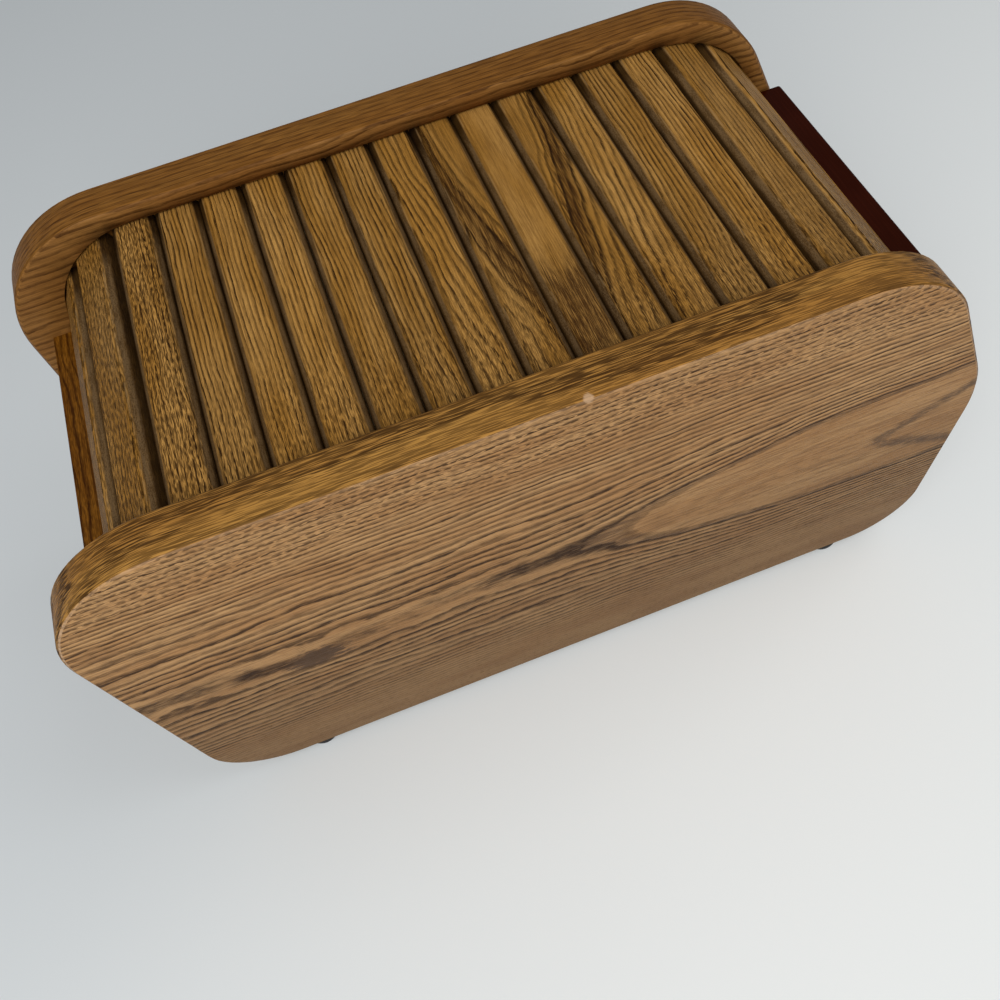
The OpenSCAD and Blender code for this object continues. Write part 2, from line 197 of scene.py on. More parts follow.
def finishMaterial(graph, inputs):
    shader = graph.node("ShaderNodeBsdfPrincipled", {}, inputs)
    graph.node("ShaderNodeOutputMaterial", {}, {"Surface": graph.out(shader)})


# objects and meshes

def newObject(name, data):
    made = bpy.data.objects.new(name, data)
    scene.collection.objects.link(made)
    return made


def meshOf(name, shape):
    mesh = bpy.data.meshes.new(name)
    shape.to_mesh(mesh)
    shape.free()
    return mesh


def smooth(mesh, crisp):
    # smooth shading, with the edges that turn by more than so many degrees left crisp
    mesh.shade_smooth()
    mesh.set_sharp_from_angle(angle=math.radians(crisp))


def applyModifiers(piece):
    # what the modifiers make becomes the piece's own mesh
    evaluated = piece.evaluated_get(bpy.context.evaluated_depsgraph_get())
    mesh = bpy.data.meshes.new_from_object(evaluated)
    piece.modifiers.clear()
    piece.data = mesh
    return mesh


# camera, light and table

view = {
    "place": (-0.055, -0.2577, 0.4825),
    "turn": (28.987, 5.857, -20.11),  # degrees
    "lens": 32.843,
    "sensor": 36,
    "nearest": 0.01,  # what is closer than this isn't drawn
}


def makeCamera():
    data = bpy.data.cameras.new("camera")
    data.lens = view["lens"]
    data.sensor_width = view["sensor"]
    data.sensor_fit = "HORIZONTAL"
    data.clip_start = view["nearest"]
    camera = newObject("camera", data)
    camera.location = view["place"]
    camera.rotation_euler = [math.radians(a) for a in view["turn"]]
    scene.camera = camera


light = {
    "room": (0.22, 0.23, 0.24),
    "roomStrength": 1.0,
    "colour": (1.0, 0.99, 0.98),
    "target": (0, 0, 0.1),
    # name: place, size, watts
    "lamps": {
        "windowLamp": ((1.1, -0.1, 1.6), 1.2, 6),
        "ceilingLamp": ((-0.5, -1.2, 1.6), 1.6, 30),
    },
}


def makeLight():
    world = bpy.data.worlds.new("room")
    scene.world = world
    world.use_nodes = True
    background = world.node_tree.nodes["Background"]
    background.inputs["Color"].default_value = (*light["room"], 1)
    background.inputs["Strength"].default_value = light["roomStrength"]
    for name, (place, size, watts) in light["lamps"].items():
        data = bpy.data.lights.new(name, "AREA")
        data.size = size
        data.energy = watts
        data.color = light["colour"]
        lamp = newObject(name, data)
        lamp.location = place
        facing = Vector(light["target"]) - Vector(place)
        lamp.rotation_euler = facing.to_track_quat("-Z", "Y").to_euler()
    scene.view_settings.view_transform = "Standard"


# painted light: the table's colour runs from dim to bright, standing in for the way the light falls off across it
table = {
    "reach": 2.5,
    "squares": 8,
    "dim": (219, 224, 226),
    "bright": (246, 249, 248),
    "from": (-0.25, 0.1),  # where it is dimmest, and where it is brightest
    "to": (0.14, -0.3),
    "spread": (-0.1, 1.1),  # how far along that way it changes
    "cloudScale": 2.2,
    "clouded": 0.12,
    "roughness": 0.55,
    "shine": 0.2,
}


def makeTable():
    shape = bmesh.new()
    squares = table["squares"]
    bmesh.ops.create_grid(shape, x_segments=squares, y_segments=squares, size=table["reach"])
    mesh = meshOf("tableTop", shape)
    floor = newObject("tableTop", mesh)

    material, graph = newMaterial("paleTable")
    place = graph.out(graph.node("ShaderNodeTexCoord"), "Object")
    x, y = graph.parts(place)[:2]
    wayX = table["to"][0] - table["from"][0]
    wayY = table["to"][1] - table["from"][1]
    along = (x - table["from"][0]) * wayX + (y - table["from"][1]) * wayY
    along = along / (wayX ** 2 + wayY ** 2)
    cloud = graph.noise(place, table["cloudScale"])
    amount = graph.step(along + (cloud - 0.5) * table["clouded"], *table["spread"])
    finishMaterial(graph, {
        "Base Color": graph.blend(amount, table["dim"], table["bright"]),
        "Roughness": table["roughness"], "Specular IOR Level": table["shine"]})
    mesh.materials.append(material)


makeCamera()
makeLight()
makeTable()
print("camera, light and table made")


# oak
# Lengths are in mm. A size of noise runs along, across and through a board. An "At" pair is where on the
# noise, which runs from 0 to 1, a mark starts and where it is full.

oak = {
    "waverSize": (60, 24, 24), "rippleSize": (9, 3, 3), "cloudSize": (60, 12, 12),
    "cloudsAt": (0.35, 0.65), "breaksAt": (0.34, 0.48), "linesAt": (0.48, 0.6),
    "dashesAt": (0.44, 0.54), "rowsAt": (0.36, 0.48), "poresAt": (0.52, 0.62), "blotsAt": (0.4, 0.54),
    "ringCore": 0.1,  # share of a ring's width that is fully dark
    "faintRing": 0.6,  # how dark the faintest ring is beside the strongest
    "brokenRing": 0.5,  # how dark a ring is where it breaks
    "poresOffRings": 0.35,
    "plainLines": 0.35,  # lines that come up where the rings fade out
    "flameFade": 1.6,
    "faintFlame": 0.35,
    "depths": {"pores": 0.4, "rings": 0.3, "lines": 0.2, "dashes": 0.4},
    "roughened": {"rings": 0.1, "pores": 0.12},
    "bump": 0.0004,  # in metres
    "shine": 0.08,
}


def oakFigure(graph, along, across, through, wood):
    # rings round a tilted heart line, thin lines, dashes, pores and ragged flames
    def streaky(size, detail=1, roughness=0.5):
        return graph.streaks((along, across, through), size, detail, roughness)

    fromHeart = across - wood["heart"][0]
    underHeart = through - wood["heart"][1] + graph.step(along, *wood["rise"])
    underHeart = underHeart * graph.step(abs(fromHeart), *wood["flatten"])
    distance = graph.maths("SQRT", fromHeart * fromHeart + underHeart * underHeart)
    distance = distance + (streaky(oak["waverSize"], 2) - 0.5) * wood["waver"]
    distance = distance + (streaky(oak["rippleSize"], 2) - 0.5) * wood["ripple"]

    ring = distance / wood["ring"]
    phase = graph.maths("FRACT", ring)
    strength = graph.chance(graph.maths("FLOOR", ring))
    full, end = wood["ringDark"]
    rings = graph.step(phase, 0.0, full) * graph.step(phase, full + oak["ringCore"], end, 1, 0)
    rings = rings * (oak["faintRing"] + (1 - oak["faintRing"]) * strength)
    rings = rings * graph.step(streaky(wood["break"]), *oak["breaksAt"], oak["brokenRing"], 1)
    plain = graph.step(distance, *wood["plain"])
    rings = rings * plain * graph.step(abs(fromHeart), *wood["calmHeart"])

    pores = graph.step(streaky(wood["pores"]), *oak["poresAt"])
    pores = pores * (oak["poresOffRings"] + (1 - oak["poresOffRings"]) * rings)
    ragged = distance + (streaky(wood["needle"]) - 0.5) * wood["ragged"]
    flame = 0
    for start, end in wood["flames"]:
        fade = oak["flameFade"]
        flame = flame + graph.step(ragged, start, start + fade) * graph.step(ragged, end - fade, end, 1, 0)
    flame = flame * graph.step(streaky(wood["blot"], 2, 0.6), *oak["blotsAt"], oak["faintFlame"], 1)
    lines = graph.step(streaky(wood["line"]), *oak["linesAt"]) + (1 - plain) * oak["plainLines"]
    dash = streaky(wood["dash"], 0.5)
    return {"rings": rings, "pores": pores, "flame": flame, "lines": lines,
            "dashes": graph.step(dash, *oak["dashesAt"]), "rows": graph.step(dash, *oak["rowsAt"]),
            "clouds": graph.step(streaky(oak["cloudSize"], 2), *oak["cloudsAt"])}


def oakColour(graph, figure, wood):
    colour = graph.blend(figure["clouds"], wood["light"], wood["warm"])
    for layer, (amount, shade) in wood["layers"].items():
        colour = graph.blend(figure[layer] * amount, colour, shade)
    return colour


def oakHeight(figure):
    return sum(0 - figure[layer] * depth for layer, depth in oak["depths"].items())


def oakRoughness(figure, wood):
    rough = sum(figure[layer] * amount for layer, amount in oak["roughened"].items())
    return rough + wood["roughness"]


# Boards whose grain follows the box. Axes are 0 X, 1 Y and 2 Z, for along, across and through. The heart
# is where the rings' middle lies across and through. Rise, flatten, plain, calmHeart and shade are steps:
# from, to, value before, value after; shade is painted shade, darker towards a panel's foot. Each layer has
# its amount and colour, the undermost first. The dashes begin over the heights of the dash zone, and the
# calm ends over those of the calm zone. Both are out of reach on the far panel. The band and the inner face
# get painted shade beside the outer face, whose lighter, pinker colour is a painted reflection.

# a board with rings all over, without flames or a plain patch
evenGrain = {
    "flatten": (0, 999, 1, 1), "plain": (-2, -1, 0, 1), "calmHeart": (-2, -1, 0, 1),
    "flames": [], "needle": (9, 1, 1), "ragged": 0, "waver": 8, "blot": (14, 1.2, 1.2),
}

boards = {
    "nearSideOak": {
        "axes": (0, 2, 1), "heart": (121, -131), "rise": (-20, 200, 0, -34),
        "flatten": (30, 75, 1, 0.5), "plain": (32, 36, 0.12, 1), "calmHeart": (-2, -1, 0, 1),
        "ring": 2.8, "ringDark": (0.14, 0.8), "waver": 6, "ripple": 1.6,
        "flames": [(34, 38.6)], "needle": (9, 0.6, 0.6), "ragged": 3,
        "break": (9, 1.2, 1), "pores": (3, 0.45, 0.3), "line": (18, 0.7, 0.4),
        "dash": (2.8, 0.8, 0.3), "blot": (14, 1.2, 1.2),
        "light": (195, 150, 99), "warm": (181, 134, 84),
        "layers": {
            "flame": (0.75, (80, 57, 38)), "lines": (0.4, (108, 72, 38)), "dashes": (0.85, (46, 23, 5)),
            "rings": (0.95, (46, 23, 5)), "pores": (0.4, (46, 25, 6)),
        },
        "relief": 0.6, "roughness": 0.42,
        "dashZone": (196, 206), "calmZone": (20, 70), "calm": 0.12, "shade": (-20, 205, 0.42, 1),
        "bandPaintedShade": (0.86, 0.77, 0.42), "bandSquash": 0.2, "innerPaintedShade": (0.8, 0.72, 0.5),
        "marked": True,
    },
    "farSideOak": {
        **evenGrain, "axes": (0, 2, 1), "heart": (60, 160), "rise": (-200, 200, 0, 8),
        "ring": 3.0, "ringDark": (0.12, 0.6), "ripple": 1.4,
        "break": (12, 1.2, 1), "pores": (3, 0.4, 0.3), "line": (18, 0.5, 0.4),
        "dash": (3.6, 0.8, 0.45),
        "light": (200, 154, 102), "warm": (188, 140, 88),
        "layers": {
            "lines": (0.4, (132, 94, 54)), "dashes": (0.5, (96, 60, 28)), "rings": (0.75, (96, 60, 28)),
            "pores": (0.4, (80, 52, 24)),
        },
        "relief": 0.4, "roughness": 0.44,
        "dashZone": (900, 999), "calmZone": (-20, -10), "calm": 0.5, "shade": (-20, 205, 0.8, 1),
        "bandPaintedShade": (0.47, 0.37, 0.175), "bandSquash": 0.25, "innerPaintedShade": (0.54, 0.45, 0.28),
    },
    "boardOak": {
        **evenGrain, "axes": (1, 2, 0), "heart": (120, -230), "rise": (-80, 80, 0, 8),
        "ring": 2.4, "ringDark": (0.12, 0.5), "ripple": 1.2,
        "break": (12, 1, 1), "pores": (3, 0.3, 0.3), "line": (16, 0.4, 0.4), "dash": (3, 0.4, 0.4),
        "light": (132, 84, 22), "warm": (114, 68, 12),
        "layers": {
            "lines": (0.6, (86, 46, 4)), "dashes": (0.4, (52, 22, 0)), "rings": (0.9, (52, 22, 0)),
            "pores": (0.5, (44, 18, 1)),
        },
        "relief": 0.35, "roughness": 0.45,
    },
    "railOak": {
        **evenGrain, "axes": (0, 2, 1), "heart": (90, 40), "rise": (-150, 150, 0, 6),
        "ring": 2.8, "ringDark": (0.12, 0.5), "ripple": 1.0,
        "break": (12, 1, 1), "pores": (3, 0.3, 0.3), "line": (16, 0.4, 0.4), "dash": (3, 0.4, 0.4),
        "light": (156, 112, 62), "warm": (142, 98, 50),
        "layers": {
            "lines": (0.5, (110, 72, 32)), "dashes": (0.2, (76, 48, 18)), "rings": (0.7, (76, 48, 18)),
            "pores": (0.5, (52, 32, 10)),
        },
        "relief": 0.3, "roughness": 0.5,
    },
}

panel = {
    "band": (74.8, 92.2),  # the edge band, between a panel's two faces, from the box's middle
    "bandStretch": 0.66,
    "shiftSize": (30, 20, 20), "shift": 24,  # how far the zones' borders wander
    "dashesOnFace": 0.25, "dashesOnBand": 0.65,
    "linesLost": 0.5,
}


def panelFigure(graph, along, across, through, band, wood):
    # on the edge band the grain follows the outline
    stretched = along * (1 - band * panel["bandStretch"])
    squashed = across * (1 - band * (1 - wood["bandSquash"]))
    figure = oakFigure(graph, stretched, squashed, through, wood)
    # short dashes take over from the lines near the top, and the foot is calm
    wander = graph.streaks((along, across, through), panel["shiftSize"]) - 0.5
    height = across + wander * panel["shift"]
    dashed = graph.most(graph.step(height, *wood["dashZone"]), band)
    lively = graph.step(height, *wood["calmZone"], wood["calm"], 1)
    dashes = panel["dashesOnFace"] + (panel["dashesOnBand"] - panel["dashesOnFace"]) * band
    figure["rings"] = figure["rings"] * (1 - dashed * (1 - figure["rows"])) * lively
    figure["dashes"] = figure["dashes"] * dashed * dashes
    figure["lines"] = figure["lines"] * (1 - dashed * panel["linesLost"]) * lively
    figure["flame"] = figure["flame"] * (1 - dashed)
    return figure


marks = {
    # the pale tone is a painted highlight on the arris, and the bared wood of the nick
    "smoke": (80, 57, 38), "paleTone": (196, 160, 124),
    "raggedSize": (5, 1.4, 2),
    "knot": {"place": (-120, 113), "reach": (17, 11), "ragged": 1.8, "edge": (0.5, 1.0)},
    "fork": {
        "place": (146, 116), "slope": 0.5, "width": 5.5, "core": 0.3, "wander": 14, "ragged": 5,
        "tip": (-4, 4), "faintAt": (-0.12, 0.06), "faint": (0.35, 0.85),
    },
    "smoked": 0.95,
    # a painted highlight along the chamfer beside the outer face, stronger towards the rear
    "arris": {"from": 92.3, "to": 92.97, "rear": (-170, -184, 0.3, 0.7), "ragged": 2, "least": 0.9},
    "nick": {"place": (9.9, 230.2, -92), "size": 2.6, "edge": (0.5, 0.9), "amount": 0.85},
}


def markedOak(graph, colour, along, across, through):
    # a smoky knot and a fork on the near face, a painted highlight along the arris, and a small nick in it
    def away(*spans):
        squares = [span * span for span in spans]
        return graph.maths("SQRT", sum(squares[1:], squares[0]))

    ragged = graph.streaks((along, across, through), marks["raggedSize"], 3, 0.6) - 0.5
    knot = marks["knot"]
    x, z = knot["place"]
    length, height = knot["reach"]
    smoke = away((along - x) / length, (across - z) / height) + ragged * knot["ragged"]
    smoke = graph.step(smoke, *knot["edge"], 1, 0)

    fork = marks["fork"]
    x, z = fork["place"]
    width = fork["width"]
    past = along - x + ragged * fork["wander"]
    arm = abs(abs(across - z) - past * fork["slope"]) + ragged * fork["ragged"]
    arm = graph.step(arm, width * fork["core"], width, 1, 0) * graph.step(past, *fork["tip"])
    arm = arm * graph.step(ragged, *fork["faintAt"], *fork["faint"])
    colour = graph.blend(graph.most(smoke, arm) * marks["smoked"], colour, marks["smoke"])

    # painted highlight: a pale glint along the chamfer beside the outer face
    arris = marks["arris"]
    line = (abs(through) > arris["from"]) * (abs(through) < arris["to"])
    paintedGlint = graph.step(along, *arris["rear"]) * (ragged * arris["ragged"] + arris["least"])
    colour = graph.blend(line * paintedGlint, colour, marks["paleTone"])

    nick = marks["nick"]
    x, z, y = nick["place"]
    chip = away(along - x, across - z, through - y) / nick["size"] + ragged
    chip = graph.step(chip, *nick["edge"], 1, 0)
    return graph.blend(chip * nick["amount"], colour, marks["paleTone"])


def makeBoardOak(name):
    wood = boards[name]
    material, graph = newMaterial(name)
    mm = graph.objectPlace()
    along, across, through = [mm[axis] for axis in wood["axes"]]
    if "bandPaintedShade" in wood:
        inner, outer = panel["band"]
        band = (abs(through) > inner) * (abs(through) < outer)
        inside = abs(through) < inner
        figure = panelFigure(graph, along, across, through, band, wood)
        # painted shade: darker towards the foot, and on the band and the inner face than on the outer face
        shade = graph.step(across, *wood["shade"])
        paintedShading = [(1 - band * (1 - onBand) - inside * (1 - onInner)) * shade
                 for onBand, onInner in zip(wood["bandPaintedShade"], wood["innerPaintedShade"])]
        colour = graph.tint(oakColour(graph, figure, wood), *paintedShading)
    else:
        figure = oakFigure(graph, along, across, through, wood)
        colour = oakColour(graph, figure, wood)
    if "marked" in wood:
        colour = markedOak(graph, colour, along, across, through)
    finishMaterial(graph, {
        "Base Color": colour, "Roughness": oakRoughness(figure, wood),
        "Normal": graph.bump(oakHeight(figure), wood["relief"], oak["bump"]),
        "Specular IOR Level": oak["shine"]})
    return material


# the slats' oak: all are sawn from one board, side by side, with its heart under slat 8
slatOak = {
    "pitch": 19.2, "middle": 8, "heart": (-1.6, -20), "rise": (-90, 90, 8, -8),
    "flatten": (20, 80, 1, 0.6), "plain": (27, 31.5, 0.2, 1), "calmHeart": (8, 12, 0.05, 1),
    "ring": 1.9, "ringDark": (0.1, 0.66), "waver": 5, "ripple": 0.8,
    "flames": [(31, 37)], "needle": (9, 0.3, 0.3), "ragged": 6,
    "break": (9, 0.6, 0.6), "pores": (3, 0.24, 0.24), "line": (14, 0.3, 0.3),
    "dash": (3.4, 0.45, 0.45), "blot": (12, 0.4, 0.4),
    "light": (194, 145, 76), "warm": (176, 126, 55),
    "layers": {
        "flame": (0.92, (60, 34, 11)), "lines": (0.45, (104, 66, 22)), "dashes": (0.8, (32, 11, 0)),
        "rings": (1, (32, 11, 0)), "pores": (0.5, (34, 14, 0)),
    },
    "relief": 0.6, "roughness": 0.42,
    "seeds": (917, 577, 3),
    "slip": (12, 3),  # how far a slat's figure may slip along and across
    "shades": (0.8, 1.0),
    "flecked": 15.5,  # from this slat on the figure is flecked
    "flecks": 0.8,
    "brokenFrom": (0, -60),  # towards the near end the lines break up into flecks
    "broken": 0.85, "brokenFlecks": 0.55,
}

# the slats' bevels are sawn across the fibres
sawnBevel = {
    "from": 7.2,  # from the slat's middle
    "edge": 0.6,
    "roughSize": (0.7, 0.5, 0.5), "wipeSize": (9, 3, 3), "wiped": 0.6, "at": (0.36, 0.68),
    # the darkening colour is painted shade in the valleys between slats; it also darkens the bevels towards the
    # far end
    "pale": (116, 92, 62), "dark": (80, 58, 32), "darkening": (36, 18, 0), "paleTone": (190, 156, 108),
    "valley": (1.2, 2.2), "farEnd": (54, 70), "darkened": 0.9,
    # the arris values place a painted highlight along the top of each bevel
    "arris": (0.1, 0.35), "glintAt": (0.45, 0.62), "glintAmount": 0.3,
    "amount": 0.9, "roughness": 0.2, "relief": 0.6,
}


def sawnColour(graph, x, y, rough, wipe, bevel):
    # painted shade in the valley between two slats, and darker towards the far end
    sawn = graph.step(rough + (wipe - 0.5) * sawnBevel["wiped"], *sawnBevel["at"])
    sawn = graph.blend(sawn, sawnBevel["pale"], sawnBevel["dark"])
    valley = [sawnBevel["from"] + reach for reach in sawnBevel["valley"]]
    darkening = graph.most(graph.step(abs(x), *valley), graph.step(y, *sawnBevel["farEnd"]) * bevel)
    return graph.blend(darkening * sawnBevel["darkened"], sawn, sawnBevel["darkening"])


def makeSlatOak():
    material, graph = newMaterial("curtainOak")

    def attribute(name, output):
        return graph.out(graph.node("ShaderNodeAttribute", {"attribute_name": name}), output)

    x, y, z = graph.inMm(attribute("grain", "Vector"))
    number = attribute("slatNumber", "Fac")
    seed = attribute("slatSeed", "Fac")
    firstSeed, secondSeed, secondStart = slatOak["seeds"]
    first = graph.chance(seed * firstSeed)
    second = graph.chance(seed * secondSeed + secondStart)
    slipAlong, slipAcross = slatOak["slip"]
    across = x + (slatOak["middle"] - number) * slatOak["pitch"]
    along = y + (second - 0.5) * slipAlong
    figure = oakFigure(graph, along, across + (first - 0.5) * slipAcross, z, slatOak)
    flecked = number > slatOak["flecked"]
    broken = graph.most(flecked, graph.step(y, *slatOak["brokenFrom"]))
    figure["rings"] = figure["rings"] * (1 - broken * (1 - figure["rows"]) * slatOak["broken"])
    flecks = graph.most(flecked * slatOak["flecks"], broken * slatOak["brokenFlecks"])
    figure["dashes"] = figure["dashes"] * flecks
    shade = graph.step(first, 0, 1, *slatOak["shades"])
    colour = graph.tint(oakColour(graph, figure, slatOak), shade, shade, shade)

    start = sawnBevel["from"]
    bevel = graph.step(abs(x), start, start + sawnBevel["edge"])
    rough = graph.streaks((y, x, z), sawnBevel["roughSize"], 3, 0.7)
    wipe = graph.streaks((y, x, z), sawnBevel["wipeSize"])
    # painted highlight: a pale line along each slat's arris, at the top of its bevel
    arris = graph.step(abs(abs(x) - start), *sawnBevel["arris"], 1, 0) \
        * graph.step(wipe, *sawnBevel["glintAt"])
    colour = graph.blend(arris * sawnBevel["glintAmount"], colour, sawnBevel["paleTone"])
    sawn = sawnColour(graph, x, y, rough, wipe, bevel)
    height = oakHeight(figure) + bevel * rough * sawnBevel["relief"]
    finishMaterial(graph, {
        "Base Color": graph.blend(bevel * sawnBevel["amount"], colour, sawn),
        "Roughness": oakRoughness(figure, slatOak) + bevel * sawnBevel["roughness"],
        "Normal": graph.bump(height, slatOak["relief"], oak["bump"]),
        "Specular IOR Level": oak["shine"]})
    return material


# the other finishes, with sizes of noise in mm along X, Y and Z, and bumps in metres

maroon = {
    "deep": (44, 9, 0), "paleTone": (58, 18, 4),
    "grainSize": (0.7, 22, 0.7), "cloudSize": (30, 30, 30),
    "grainAt": (0.45, 0.8), "cloudAt": (0.5, 0.8), "grainWear": 0.6, "cloudWear": 0.3,
    "roughness": 0.32, "uneven": 0.2, "relief": 0.15, "bump": 0.0003, "shine": 0.05,
}


def makeMaroonWood():
    material, graph = newMaterial("maroonLacquer")
    place = graph.objectPlace()
    grain = graph.streaks(place, maroon["grainSize"], 3, 0.6)
    cloud = graph.streaks(place, maroon["cloudSize"])
    paleTone = graph.step(grain, *maroon["grainAt"]) * maroon["grainWear"] \
        + graph.step(cloud, *maroon["cloudAt"]) * maroon["cloudWear"]
    finishMaterial(graph, {
        "Base Color": graph.blend(paleTone, maroon["deep"], maroon["paleTone"]),
        "Roughness": (cloud - 0.5) * maroon["uneven"] + maroon["roughness"],
        "Normal": graph.bump(grain, maroon["relief"], maroon["bump"]),
        "Specular IOR Level": maroon["shine"]})
    return material


# the sizes here run along, across and through the sheet
ply = {
    "face": (196, 160, 116), "grain": (164, 124, 80), "speck": (142, 102, 62),
    "waverSize": (120, 30, 200), "waver": 30, "lineSize": (60, 1.6, 40), "speckSize": (3, 0.4, 0.4),
    "linesAt": (0.4, 0.75), "specksAt": (0.6, 0.7), "specked": 0.5,
    "roughness": 0.62, "uneven": 0.2, "relief": 0.2, "bump": 0.0003, "shine": 0.3,
}


def makePlywood(name, axes):
    material, graph = newMaterial(name)
    mm = graph.objectPlace()
    along, across, through = [mm[axis] for axis in axes]
    waver = graph.streaks((along, across, through), ply["waverSize"])
    line = graph.streaks((along, across + waver * ply["waver"], through), ply["lineSize"], 3, 0.6)
    speck = graph.step(graph.streaks((along, across, through), ply["speckSize"]), *ply["specksAt"])
    colour = graph.blend(graph.step(line, *ply["linesAt"]), ply["face"], ply["grain"])
    finishMaterial(graph, {
        "Base Color": graph.blend(speck * ply["specked"], colour, ply["speck"]),
        "Roughness": (line - 0.5) * ply["uneven"] + ply["roughness"],
        "Normal": graph.bump(line, ply["relief"], ply["bump"]), "Specular IOR Level": ply["shine"]})
    return material


canvas = {
    "yarn": (168, 156, 128), "shade": (118, 106, 82), "thread": 0.9,
    "fuzzSize": (2, 2, 2), "weave": 0.7, "fuzz": 0.6,
    "roughness": 0.85, "uneven": 0.1, "relief": 0.5, "bump": 0.0003, "shine": 0.2,
}


def makeCanvas():
    material, graph = newMaterial("gluedCanvas")
    x, y, z = graph.objectPlace()
    warp = graph.maths("PINGPONG", (x - z) / canvas["thread"], 0.5) * 2
    weft = graph.maths("PINGPONG", y / canvas["thread"], 0.5) * 2
    weave = graph.most(warp, weft)
    fuzz = graph.streaks((x, y, z), canvas["fuzzSize"], 3)
    lit = weave * canvas["weave"] + (fuzz - 0.5) * canvas["fuzz"]
    finishMaterial(graph, {
        "Base Color": graph.blend(lit, canvas["shade"], canvas["yarn"]),
        "Roughness": (fuzz - 0.5) * canvas["uneven"] + canvas["roughness"],
        "Normal": graph.bump(weave, canvas["relief"], canvas["bump"]),
        "Specular IOR Level": canvas["shine"]})
    return material


rubber = {
    "black": (26, 25, 25), "dust": (66, 64, 62),
    "speckSize": (0.5, 0.5, 0.5), "dustSize": (6, 6, 6), "dustAt": (0.5, 0.8), "dusty": 0.5,
    "roughness": 0.7, "uneven": 0.3, "relief": 0.25, "bump": 0.0002, "shine": 0.3,
}


def makeRubber():
    material, graph = newMaterial("footRubber")
    place = graph.objectPlace()
    speck = graph.streaks(place, rubber["speckSize"], 3)
    dust = graph.streaks(place, rubber["dustSize"], 3)
    dusty = graph.step(dust, *rubber["dustAt"]) * rubber["dusty"]
    finishMaterial(graph, {
        "Base Color": graph.blend(dusty, rubber["black"], rubber["dust"]),
        "Roughness": (dust - 0.5) * rubber["uneven"] + rubber["roughness"],
        "Normal": graph.bump(speck, rubber["relief"], rubber["bump"]),
        "Specular IOR Level": rubber["shine"]})
    return material


steel = {
    "bright": (178, 178, 180), "dull": (128, 126, 124),
    "lineSize": (4, 0.08, 4), "stainSize": (3, 3, 3), "stainAt": (0.4, 0.8),
    "roughness": 0.32, "uneven": 0.2, "relief": 0.1, "bump": 0.0001,
}


def makeSteel():
    material, graph = newMaterial("plainSteel")
    place = graph.objectPlace()
    lines = graph.streaks(place, steel["lineSize"])
    darkening = graph.streaks(place, steel["stainSize"], 3)
    finishMaterial(graph, {
        "Base Color": graph.blend(graph.step(darkening, *steel["stainAt"]), steel["bright"], steel["dull"]),
        "Metallic": 1.0, "Roughness": darkening * steel["uneven"] + steel["roughness"],
        "Normal": graph.bump(lines, steel["relief"], steel["bump"])})
    return material


finishes = {name: makeBoardOak(name) for name in boards}
finishes["curtainOak"] = makeSlatOak()
finishes["maroon"] = makeMaroonWood()
finishes["plyFlat"] = makePlywood("plywoodFlat", (0, 1, 2))
finishes["plyUpright"] = makePlywood("plywoodUpright", (1, 2, 0))
finishes["canvas"] = makeCanvas()
finishes["rubber"] = makeRubber()
finishes["steel"] = makeSteel()
print("finishes made:", len(finishes))


# the curtain's slats, one row of them for each moving group

slat = {
    "bevelWidth": 0.003,
    "bevelDepth": 0.0046,
    "arris": 0.0007,
    "columns": 43,
    "crisp": 35,  # degrees
    "firstSeed": 11,
    # body: joint that its slats turn about, fall of the first slat and of each next one in degrees
    "rows": {
        "curtain_top": (None, 0, 0),
        "curtain_turn": ("rear_turn", 0, -30),
        "curtain_tail": (None, -90, 0),
        "curtain_bend_1": ("front_bend_1", 11.5, 0),
        "curtain_bend_2": ("front_bend_2", 39.0, 0),
        "curtain_bend_3": ("front_bend_3", 64.4, 0),
    },
}

slatInputs = {
    "Int": ["Count", "Seed", "First Number", "Columns"],
    "Vector": ["Centre", "Step"],
    "Float": ["Radius", "First Fall", "Turn", "Length", "Width", "Thickness", "Bevel Width",
              "Bevel Depth", "Arris"],
    "Material": ["Material"],
}


def store(graph, geometry, kind, domain, name, value):
    return graph.node("GeometryNodeStoreNamedAttribute", {"data_type": kind, "domain": domain},
                      {"Geometry": graph.out(geometry), "Name": name, "Value": value})


def shapeSlat(graph, given):
    # one slat, with its underside on the canvas and its grain along Y
    size = graph.vector(given["Width"], given["Length"], given["Thickness"])
    block = graph.node("GeometryNodeMeshCube", {}, {"Size": size, "Vertices X": given["Columns"]})
    x, y, z = graph.parts(graph.out(graph.node("GeometryNodeInputPosition")))
    past = (abs(x) - (given["Width"] / 2 - given["Bevel Width"])) / given["Bevel Width"]
    slope = given["Thickness"] - past * given["Bevel Depth"]
    top = graph.maths("SMOOTH_MIN", given["Thickness"], slope, given["Arris"])
    shaped = graph.node("GeometryNodeSetPosition", {}, {
        "Geometry": graph.out(block), "Position": graph.vector(x, y, (z > 0) * top)})
    local = graph.out(graph.node("GeometryNodeInputPosition"))
    return store(graph, shaped, "FLOAT_VECTOR", "POINT", "grain", local)


